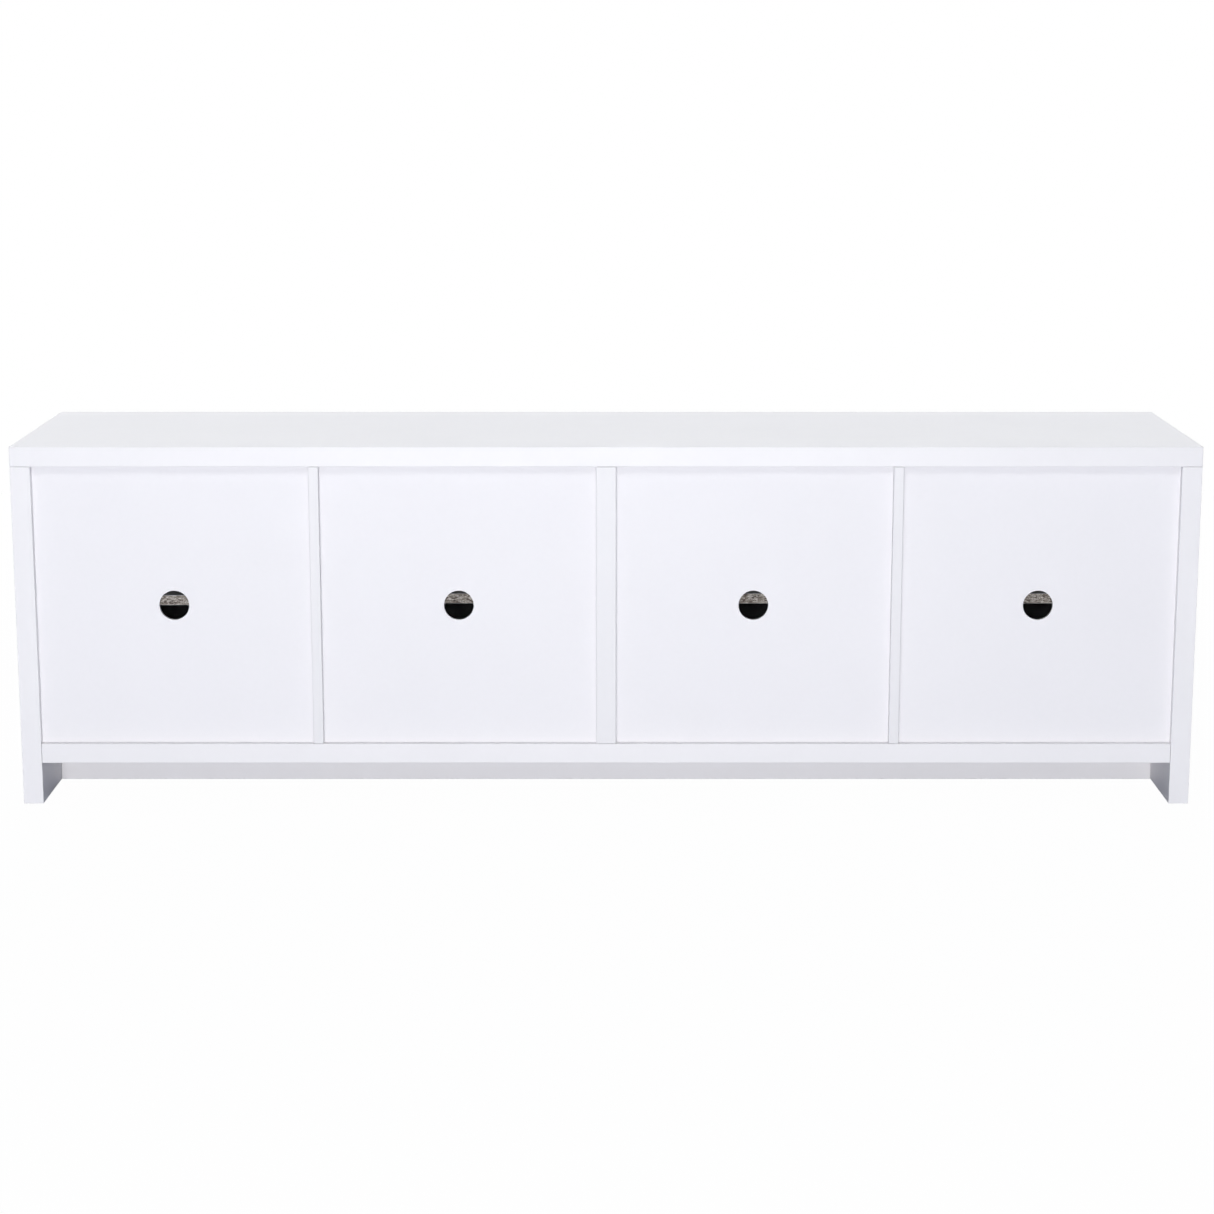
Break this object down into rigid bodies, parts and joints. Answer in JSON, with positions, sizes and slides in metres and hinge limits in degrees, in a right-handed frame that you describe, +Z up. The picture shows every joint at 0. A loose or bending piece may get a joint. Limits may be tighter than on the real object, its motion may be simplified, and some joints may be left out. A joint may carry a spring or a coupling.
{
  "type": "tv stand with doors",
  "caption": "Long low white TV stand with inset hinged doors, adjustable shelves and back panels with round cable holes.",
  "frame": {"origin": "on the floor, in the middle of the overall width and depth, handles included", "axes": "+X along the width, +Y towards the wall side (the doors face -Y), +Z up"},
  "size_m": [1.78, 0.428, 0.55],
  "materials": {
    "carcass_board": "white satin melamine on chipboard",
    "back_board": "white satin lacquered fibreboard",
    "shelf_board": "white satin melamine, raw chipboard rear edge",
    "door_board": "white satin lacquer",
    "handle_metal": "satin nickel plated",
    "hinge_steel": "bright nickel plated",
    "bumper_silicone": "clear silicone"
  },
  "bodies": {
    "carcass": {"top_panel": "carcass_board", "left_side_panel": "carcass_board", "right_side_panel": "carcass_board", "bottom_panel": "carcass_board", "left_divider": "carcass_board", "centre_divider": "carcass_board", "right_divider": "carcass_board", "plinth_rail": "carcass_board", "back_panel_1": "back_board", "back_panel_2": "back_board", "back_panel_3": "back_board", "back_panel_4": "back_board", "shelf_1": "shelf_board", "shelf_2": "shelf_board", "shelf_3": "shelf_board", "shelf_4": "shelf_board", "shelf_pin_1_a": "hinge_steel", "shelf_pin_1_b": "hinge_steel", "shelf_pin_1_c": "hinge_steel", "shelf_pin_1_d": "hinge_steel", "shelf_pin_2_a": "hinge_steel", "shelf_pin_2_b": "hinge_steel", "shelf_pin_2_c": "hinge_steel", "shelf_pin_2_d": "hinge_steel", "shelf_pin_3_a": "hinge_steel", "shelf_pin_3_b": "hinge_steel", "shelf_pin_3_c": "hinge_steel", "shelf_pin_3_d": "hinge_steel", "shelf_pin_4_a": "hinge_steel", "shelf_pin_4_b": "hinge_steel", "shelf_pin_4_c": "hinge_steel", "shelf_pin_4_d": "hinge_steel", "hinge_arm_1_upper": "hinge_steel", "hinge_arm_1_lower": "hinge_steel", "hinge_arm_2_upper": "hinge_steel", "hinge_arm_2_lower": "hinge_steel", "hinge_arm_3_upper": "hinge_steel", "hinge_arm_3_lower": "hinge_steel", "hinge_arm_4_upper": "hinge_steel", "hinge_arm_4_lower": "hinge_steel", "door_bumper_1": "bumper_silicone", "door_bumper_2": "bumper_silicone", "door_bumper_3": "bumper_silicone", "door_bumper_4": "bumper_silicone"},
    "door_1": {"door_1": "door_board", "handle_1": "handle_metal", "hinge_cup_1_upper": "hinge_steel", "hinge_cup_1_lower": "hinge_steel"},
    "door_2": {"door_2": "door_board", "handle_2": "handle_metal", "hinge_cup_2_upper": "hinge_steel", "hinge_cup_2_lower": "hinge_steel"},
    "door_3": {"door_3": "door_board", "handle_3": "handle_metal", "hinge_cup_3_upper": "hinge_steel", "hinge_cup_3_lower": "hinge_steel"},
    "door_4": {"door_4": "door_board", "handle_4": "handle_metal", "hinge_cup_4_upper": "hinge_steel", "hinge_cup_4_lower": "hinge_steel"}
  },
  "joints": [
    {"name": "door_1_swing", "type": "hinge", "parent": "carcass", "child": "door_1", "pos_m": [-0.8475, -0.1787, 0.307], "axis": [0, 0, -1], "range_deg": [0, 95]},
    {"name": "door_2_swing", "type": "hinge", "parent": "carcass", "child": "door_2", "pos_m": [-0.0275, -0.1787, 0.307], "axis": [0, 0, 1], "range_deg": [0, 86]},
    {"name": "door_3_swing", "type": "hinge", "parent": "carcass", "child": "door_3", "pos_m": [0.0275, -0.1787, 0.307], "axis": [0, 0, -1], "range_deg": [0, 86]},
    {"name": "door_4_swing", "type": "hinge", "parent": "carcass", "child": "door_4", "pos_m": [0.8475, -0.1787, 0.307], "axis": [0, 0, 1], "range_deg": [0, 95]}
  ]
}
